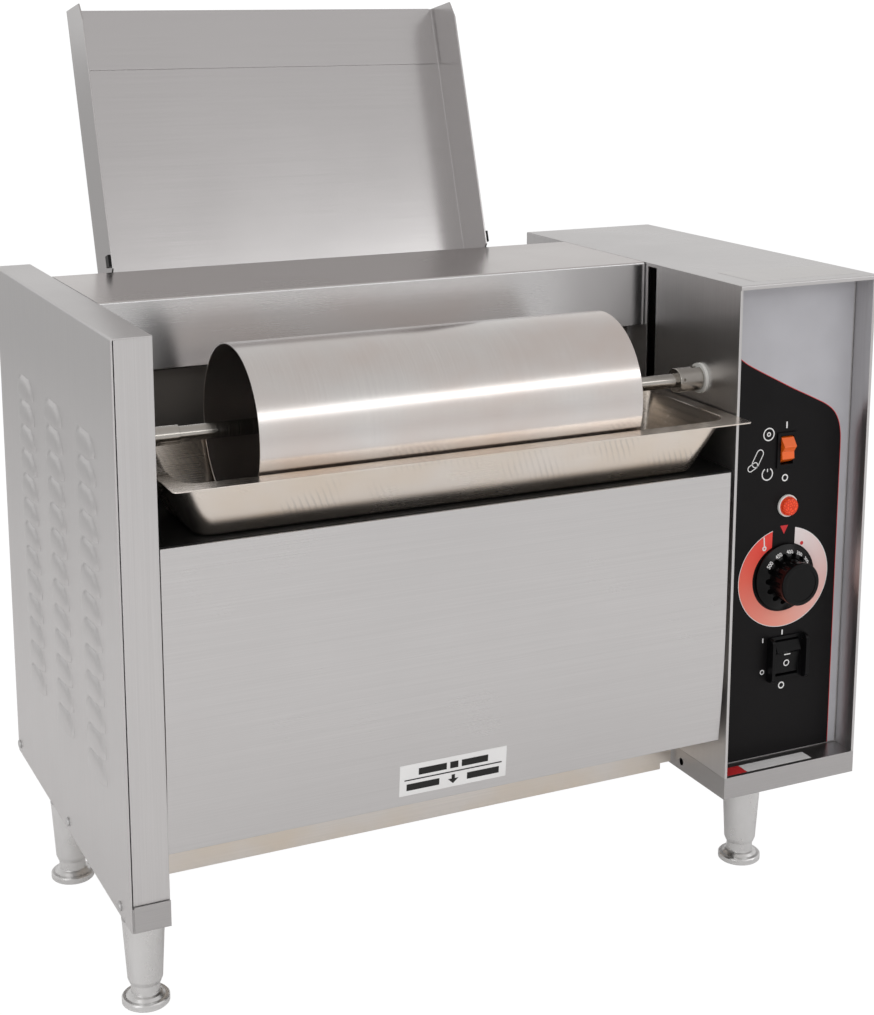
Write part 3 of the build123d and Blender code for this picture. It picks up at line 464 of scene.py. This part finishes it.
def offset_line(line, distance):
    """The line moved sideways, to the left of its direction."""
    moved = []
    for index, point in enumerate(line):
        before, after = line[max(index - 1, 0)], line[min(index + 1, len(line) - 1)]
        along = (after - before).normalized()
        moved.append(point + Vector((-along.y, along.x)) * distance)
    return moved


def bun(bm, centre, half_length, radius, lean):
    """Outline of a round-ended roll; lean is clockwise from upright, in degrees."""
    turn = math.radians(lean)
    along = Vector((math.sin(turn), math.cos(turn))) * half_length
    side = Vector((math.cos(turn), -math.sin(turn))) * radius
    middle = Vector(centre)
    for sign in (-1, 1):
        stroke(bm, middle - along + side * sign, middle + along + side * sign, 0.8)
    ring(bm, middle + along, radius, 0.8, lean - 90, lean + 90)
    ring(bm, middle - along, radius, 0.8, lean + 90, lean + 270)


PRINT_LEFT, PRINT_RIGHT, PRINT_BOTTOM, PRINT_TOP = 515.8, 645.8, 19.8, 436.3


def swept_edge():
    """Edge between the grey field and the black one, from the panel's left side down to its bottom."""
    sweep = smooth_line([
        (PRINT_LEFT, 398), (521, 388.5), (528, 379), (537, 371), (548, 364.5), (566, 355.2), (587, 344.5),
        (606, 335.5), (621, 328), (630, 321), (635.4, 312), (638, 301), (638.5, 288),
    ])
    sweep.append(Vector((638.5, PRINT_BOTTOM)))
    return sweep


def grey_print():
    """Grey field above and to the right of the swept edge."""
    edge = [(p.x, p.y) for p in swept_edge()]
    outer = [(max(x, PRINT_LEFT), PRINT_TOP) for x, _ in edge[:-2]]
    outer += [(PRINT_RIGHT, PRINT_TOP), (PRINT_RIGHT, PRINT_BOTTOM)]
    bm = bmesh.new()
    print_band(bm, edge, outer)
    piece("panel_grey_print", bm, "grey_ink", "body")


def red_print():
    """Thin line along the swept edge, pointer over the knob and dot at the scale's end."""
    sweep = swept_edge()
    bm = bmesh.new()
    print_band(bm, sweep, offset_line(sweep, -0.5), 2)
    print_faces(bm, [(579, 225.6), (587, 225.6), (583, 218.2)])
    print_faces(bm, arc((601.9, 207.6), 1.7, 0, 345, 15), 2)
    piece("panel_red_print", bm, "red_ink", "body")


def heat_scale():
    """Coloured band around the knob and its fine outline; both are a little flatter than a circle."""
    squash, drop = 0.955, 0.7
    edges = []
    for radius, start, end in ((31.7, 19, 336), (45.7, 13.3, 344), (46.2, 13.3, 344)):
        line = arc((0, 0), radius, start, end)
        edges.append([(DIAL[0] + x, DIAL[2] - drop + z * squash) for x, z in line])
    inner, outer, outline = edges
    bm = bmesh.new()
    print_band(bm, inner, outer)
    piece("dial_heat_scale", bm, "dial", "body")
    bm = bmesh.new()
    print_band(bm, outer, outline, 2)
    piece("dial_outline", bm, "white_ink", "body")


def white_print():
    """Generic symbols: target, power sign and two rolls, on and off marks, and a thermometer."""
    bm = bmesh.new()
    for radius in (5.2, 1.5):
        ring(bm, (563.8, 307), radius, 1.0)
    ring(bm, (563.6, 272.8), 5.2, 1.0, 32, 328)
    stroke(bm, (563.6, 277.4), (563.6, 274.6), 0.9)
    bun(bm, (553.4, 287.2), 4.6, 3.3, 28)
    bun(bm, (548.6, 280.4), 2.6, 2.5, 62)
    stroke(bm, (581.8, 310.6), (581.8, 316.2), 1.3)
    ring(bm, (581.8, 267.6), 2.6, 1.1)
    stroke(bm, (585.2, 127.8), (585.2, 132.2), 1.3)
    ring(bm, (586.4, 81.6), 2.6, 1.1)
    stroke(bm, (565.4, 123.2), (565.4, 127.2), 1.0)
    ring(bm, (565.8, 96.6), 1.8, 0.9)
    stroke(bm, (562.7, 217.6), (563.3, 209.6), 1.1, 2)
    ring(bm, (563.4, 207.6), 1.5, 1.2, layer=2)
    piece("panel_white_print", bm, "white_ink", "body")


# ------------------------------------------------------------------ knob, rockers and labels

NUMERAL_TURNS = {"500": -53, "450": -25, "400": 3, "350": 29, "300": 54, "250": 79, "200": 104, "150": 129}
NUMERAL_RADIUS, NUMERAL_Y = 23.2, 18.2
CONE_SLOPE = math.radians(30)


def numeral_mesh(text):
    """Raised lettering of one number, around its own middle."""
    curve = bpy.data.curves.new(f"numeral_{text}", "FONT")
    curve.body = text
    curve.size = 4.4 * MM
    curve.extrude = 0.06 * MM
    curve.offset = 0.07 * MM
    curve.align_x = "CENTER"
    curve.align_y = "CENTER"
    temporary = bpy.data.objects.new(f"numeral_{text}_curve", curve)
    mesh = bpy.data.meshes.new_from_object(temporary)
    bpy.data.objects.remove(temporary)
    return mesh


def knob_numerals():
    """Temperature numbers on the knob's cone, each lying on its slope."""
    for text, degrees in NUMERAL_TURNS.items():
        turn = math.radians(degrees)
        outward = Vector((math.sin(turn), 0, math.cos(turn)))
        right = Vector((math.cos(turn), 0, -math.sin(turn)))
        up = outward * math.cos(CONE_SLOPE) + Vector((0, math.sin(CONE_SLOPE), 0))
        mesh = numeral_mesh(text)
        mesh.materials.append(MATERIALS["white_ink"])
        made = bpy.data.objects.new(f"knob_numeral_{text}", mesh)
        bpy.context.scene.collection.objects.link(made)
        middle = spot(DIAL[0], NUMERAL_Y, DIAL[2]) + outward * NUMERAL_RADIUS * MM
        turned = Matrix((right, up, right.cross(up))).transposed().to_4x4()
        made.matrix_world = Matrix.Translation(middle) @ turned
        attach(made, "thermostat_knob")


def rocker_marks():
    """Dash and circle on the flat lower face of the power rocker."""
    pivot = spot(589.0, 26.5, 107.5)
    lean = math.radians(6)
    upward = Vector((0, -math.sin(lean), math.cos(lean)))
    outward = Vector((0, -math.cos(lean), -math.sin(lean)))
    face_height, mark_thickness, steps = 4.85, 0.25, 24
    bm = bmesh.new()

    def plate(outline, along):
        """Thin plate on the face; along is its height above the pivot."""
        start = pivot + outward * face_height * MM + upward * along * MM
        corners = [start + Vector((x, 0, 0)) * MM + upward * z * MM for x, z in outline]
        face = bm.faces.new([bm.verts.new(corner) for corner in corners])
        thicken(bm, [face], outward * mark_thickness * MM)

    plate([(-3.2, -0.45), (3.2, -0.45), (3.2, 0.45), (-3.2, 0.45)], 3.6)
    outer = arc((0, 0), 3.0, 0, 360, steps)
    inner = arc((0, 0), 2.1, 0, 360, steps)
    for step in range(steps):
        plate([outer[step], outer[step + 1], inner[step + 1], inner[step]], -4.6)
    bmesh.ops.remove_doubles(bm, verts=bm.verts, dist=0.000002)
    piece("power_rocker_marks", bm, "white_ink", "power_rocker")


def front_label_print():
    """Plain rule, blocks and an arrow on the front label, in place of wording."""
    low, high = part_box("front_label")
    width, height = (high.x - low.x) / MM, (high.z - low.z) / MM
    mesh = NODES["front_label"].data
    surface = BVHTree.FromPolygons([v.co for v in mesh.vertices], [p.vertices for p in mesh.polygons])
    ink, gap = 0.08 * MM, 0.04 * MM
    bm = bmesh.new()

    def mark(outline):
        """outline is a list of (x, z) in millimetres from the label's lower left corner."""
        corners = []
        for x, z in outline:
            start = Vector((low.x + x * MM, low.y - 0.01, low.z + z * MM))
            corners.append(surface.ray_cast(start, Vector((0, 1, 0)))[0] - Vector((0, gap, 0)))
        face = bm.faces.new([bm.verts.new(corner) for corner in corners])
        thicken(bm, [face], Vector((0, -ink, 0)))

    def block(x0, x1, z0, z1):
        mark([(x0, z0), (x1, z0), (x1, z1), (x0, z1)])

    middle = height / 2
    block(4, width - 4, middle - 0.5, middle + 0.5)
    for x0, x1 in ((16, 40), (43, 50), (53, 76)):
        block(x0, x1, middle + 3.0, middle + 8.6)
    for x0, x1 in ((6, 34), (58, 86)):
        block(x0, x1, middle - 9.0, middle - 3.4)
    block(44.6, 47.4, middle - 6.0, middle - 2.6)
    mark([(41.5, middle - 6.0), (46, middle - 10.2), (50.5, middle - 6.0)])
    piece("front_label_print", bm, "black_ink", "front_panel")


def flat_labels():
    """Plain red tab and blank strip on the ledge, and a blank clear label on top of the control box."""
    ledge_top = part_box("right_base_tray")[1].z
    cover_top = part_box("control_box_top_cover")[1].z
    labels = (
        ("ledge_red_tab", "red_ink", (518, 539), (4.0, 17.0), ledge_top),
        ("ledge_strip", "label", (539.4, 606), (4.0, 17.0), ledge_top),
        ("cover_label", "clear_label", (536, 640), (14, 66), cover_top),
    )
    for name, finish, (left, right), (front, back), height in labels:
        bm = bmesh.new()
        corners = [spot(x, y, 0) for x, y in ((left, front), (right, front), (right, back), (left, back))]
        face = bm.faces.new([bm.verts.new((corner.x, corner.y, height)) for corner in corners])
        thicken(bm, [face], Vector((0, 0, 0.15 * MM)))
        piece(name, bm, finish, "body")


# ------------------------------------------------------------------ louvred side cover

LOUVRE_LENGTH, LOUVRE_HEIGHT, LOUVRE_BULGE = 52.0, 16.0, 3.6
LOUVRE_PITCH, LOUVRE_ROWS = 20.9, 13
# Middle of each column along the depth: height of its lowest louvre's middle.
LOUVRE_COLUMNS = {267.0: 102.5, 175.0: 101.0, 80.0: 99.5}
COVER_BEND, FLANGE_DROP = 1.8, 15.0


def louvre_places():
    """Middle (y, z) of every louvre."""
    return [
        (y, lowest + row * LOUVRE_PITCH)
        for y, lowest in LOUVRE_COLUMNS.items()
        for row in range(LOUVRE_ROWS)
    ]


def cover_profile(places):
    """Cross-section (x, z) of the sheet: up the side with breaks at the slots, then over the bend."""
    ends = {z + side * LOUVRE_HEIGHT / 2 for _, z in places for side in (-1, 1)}
    profile = [(0.0, z) for z in sorted({0.0, HEIGHT - COVER_BEND} | ends)]
    for step in range(1, 5):
        turn = math.radians(90 * step / 4)
        profile.append((COVER_BEND * (1 - math.cos(turn)), HEIGHT - COVER_BEND + COVER_BEND * math.sin(turn)))
    profile.append((LEFT_WALL, HEIGHT))
    return profile


def slotted_sheet(bm, places):
    """The folded sheet, with an open slot for every louvre."""
    profile = cover_profile(places)
    ends = {y + side * LOUVRE_LENGTH / 2 for y in LOUVRE_COLUMNS for side in (-1, 1)}
    breaks = sorted({0.0, DEPTH} | ends)
    grid = [[bm.verts.new(spot(x, y, z)) for x, z in profile] for y in breaks]
    for i in range(len(breaks) - 1):
        for j in range(len(profile) - 1):
            y = (breaks[i] + breaks[i + 1]) / 2
            z = (profile[j][1] + profile[j + 1][1]) / 2
            if any(abs(y - sy) < LOUVRE_LENGTH / 2 and abs(z - sz) < LOUVRE_HEIGHT / 2 for sy, sz in places):
                continue
            bm.faces.new((grid[i][j], grid[i][j + 1], grid[i + 1][j + 1], grid[i + 1][j]))


def scoop(bm, y, z, columns=20, rows=8):
    """Domed louvre over one slot: it rises from the slot's ends and top to an open lower edge."""
    patch = []
    for i in range(columns + 1):
        u = 2 * i / columns - 1
        line = []
        for j in range(rows + 1):
            v = j / rows
            spread = abs(u) ** 2.8 + v ** 2.0
            rise = LOUVRE_BULGE * max(0.0, 1 - spread) ** 0.62
            place = spot(-rise, y + u * LOUVRE_LENGTH / 2, z - LOUVRE_HEIGHT / 2 + v * LOUVRE_HEIGHT)
            line.append(bm.verts.new(place))
        patch.append(line)
    for i in range(columns):
        for j in range(rows):
            bm.faces.new((patch[i][j], patch[i][j + 1], patch[i + 1][j + 1], patch[i + 1][j]))


def rear_flange(bm):
    """Short flange folded down at the back of the cover."""
    low, high = HEIGHT - FLANGE_DROP, HEIGHT - SHEET
    corners = ((SHEET, high), (LEFT_WALL, high), (LEFT_WALL, low), (SHEET, low))
    face = bm.faces.new([bm.verts.new(spot(x, DEPTH - SHEET, z)) for x, z in corners])
    thicken(bm, [face], Vector((0, SHEET * MM, 0)))


def turn_outwards(skin):
    """Make the sheet's faces look away from the body, so that its thickness grows inwards."""
    for face in skin:
        face.normal_update()
        on_side = face.calc_center_median().x < CORNER.x + COVER_BEND * MM / 2
        outward = Vector((-1, 0, 0)) if on_side else Vector((0, 0, 1))
        if face.normal.dot(outward) < 0:
            face.normal_flip()


def side_cover():
    """Left cover: one folded sheet with three columns of slots and a pressed scoop over each."""
    places = louvre_places()
    bm = bmesh.new()
    slotted_sheet(bm, places)
    for y, z in places:
        scoop(bm, y, z)
    skin = list(bm.faces)
    rear_flange(bm)
    turn_outwards(skin)
    bmesh.ops.solidify(bm, geom=skin, thickness=SHEET * MM)
    made = piece("louvred_side_cover", bm, "sheet_z", "body", smooth=38)
    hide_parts("left_side_cover")


grey_print()
red_print()
heat_scale()
white_print()
knob_numerals()
rocker_marks()
front_label_print()
flat_labels()
side_cover()


# ------------------------------------------------------------------ studio and camera

def area_light(name, place, aim, width, height, radiance):
    """Soft box at place, turned towards aim, of a given surface brightness."""
    light = bpy.data.lights.new(name, "AREA")
    light.shape = "RECTANGLE"
    light.size = width
    light.size_y = height
    light.energy = radiance * math.pi * width * height
    made = bpy.data.objects.new(name, light)
    made.location = place
    made.rotation_euler = (Vector(aim) - Vector(place)).to_track_quat("-Z", "Y").to_euler()
    bpy.context.scene.collection.objects.link(made)


def pure_white_for_camera(tree, surface, output, keep):
    """White where the camera sees the surface directly, and the real surface in reflections.

    keep is the share of the real surface's own shading that the camera still sees.
    """
    path = tree.nodes.new("ShaderNodeLightPath")
    white = tree.nodes.new("ShaderNodeEmission")
    chooser = tree.nodes.new("ShaderNodeMixShader")
    amount = tree.nodes.new("ShaderNodeMath")
    amount.operation = "MULTIPLY"
    amount.inputs[1].default_value = 1 - keep
    white.inputs["Strength"].default_value = 1.05
    tree.links.new(path.outputs["Is Camera Ray"], amount.inputs[0])
    tree.links.new(amount.outputs[0], chooser.inputs["Fac"])
    tree.links.new(surface, chooser.inputs[1])
    tree.links.new(white.outputs[0], chooser.inputs[2])
    tree.links.new(chooser.outputs[0], output.inputs["Surface"])


def floor():
    """White floor with painted shade: its colour is darker far behind and to the left of the object."""
    bm = bmesh.new()
    bmesh.ops.create_grid(bm, x_segments=1, y_segments=1, size=20)
    mesh = bpy.data.meshes.new("studio_floor")
    bm.to_mesh(mesh)
    bm.free()
    made = bpy.data.objects.new("studio_floor", mesh)
    bpy.context.scene.collection.objects.link(made)
    s = Shader("studio_floor")
    split = s.node("ShaderNodeSeparateXYZ")
    s.link(s.place, split.inputs[0])
    leftward = s.maths("MULTIPLY", split.outputs["X"], -0.43)
    away = s.maths("ADD", leftward, s.maths("MULTIPLY", split.outputs["Y"], 0.9))
    # Painted shade: the floor's colour falls from near white to grey far behind and to the left.
    near, far = (0.86, 0.855, 0.855), (0.48, 0.48, 0.48)
    s.link(s.mix(s.ramp(away, 0.7, 2.6, 0, 1), near, far), s.bsdf.inputs["Base Color"])
    s.set(Roughness=0.9, Emission_Color=(1, 1, 1, 1), Emission_Strength=0.14)
    pure_white_for_camera(s.tree, s.bsdf.outputs[0], s.tree.nodes["Material Output"], 0.06)
    mesh.materials.append(s.material)


def surround():
    """An even, slightly warm white surround that darkens overhead."""
    world = bpy.data.worlds.new("studio_surround")
    bpy.context.scene.world = world
    world.use_nodes = True
    tree = world.node_tree
    tree.nodes.clear()
    output = tree.nodes.new("ShaderNodeOutputWorld")
    background = tree.nodes.new("ShaderNodeBackground")
    place = tree.nodes.new("ShaderNodeTexCoord")
    split = tree.nodes.new("ShaderNodeSeparateXYZ")
    grade = tree.nodes.new("ShaderNodeValToRGB")
    tree.links.new(place.outputs["Generated"], split.inputs[0])
    tree.links.new(split.outputs["Z"], grade.inputs["Fac"])
    stops = grade.color_ramp.elements
    stops[0].position, stops[0].color = 0.0, (0.74, 0.735, 0.73, 1)
    stops[1].position, stops[1].color = 1.0, (0.6, 0.575, 0.56, 1)
    for position, value in ((0.2, 0.76), (0.4, 0.72), (0.7, 0.64)):
        stops.new(position).color = (value, value * 0.985, value * 0.975, 1)
    tree.links.new(grade.outputs["Color"], background.inputs["Color"])
    pure_white_for_camera(tree, background.outputs[0], output, 0.0)


def lights():
    """A long strip in front for the roller's highlight, and two soft boxes at the left."""
    area_light("front_strip", (0.67, -1.46, 1.12), (0, -0.14, 0.42), 2.4, 0.24, 1.9)
    area_light("left_softbox", (-2.0, -1.2, 1.7), (0, 0, 0.3), 1.2, 1.2, 1.0)
    area_light("low_left_softbox", (-1.9, -1.0, 0.4), (0, 0, 0.3), 0.7, 1.4, 1.0)


def camera():
    """Camera at the photograph's viewing angle."""
    azimuth, elevation = -0.4448, 0.2006
    data = bpy.data.cameras.new("camera")
    made = bpy.data.objects.new("camera", data)
    bpy.context.scene.collection.objects.link(made)
    back = Vector((
        math.sin(azimuth) * math.cos(elevation),
        -math.cos(azimuth) * math.cos(elevation),
        math.sin(elevation),
    ))
    made.location = spot(-318.9, -1183.4, 673.4)
    made.rotation_euler = (-back).to_track_quat("-Z", "Y").to_euler()
    data.sensor_width = 36
    data.lens = 64.34
    data.shift_y = -0.150
    data.clip_start = 0.05
    bpy.context.scene.camera = made


floor()
surround()
lights()
camera()
bpy.context.scene.view_settings.view_transform = "Standard"
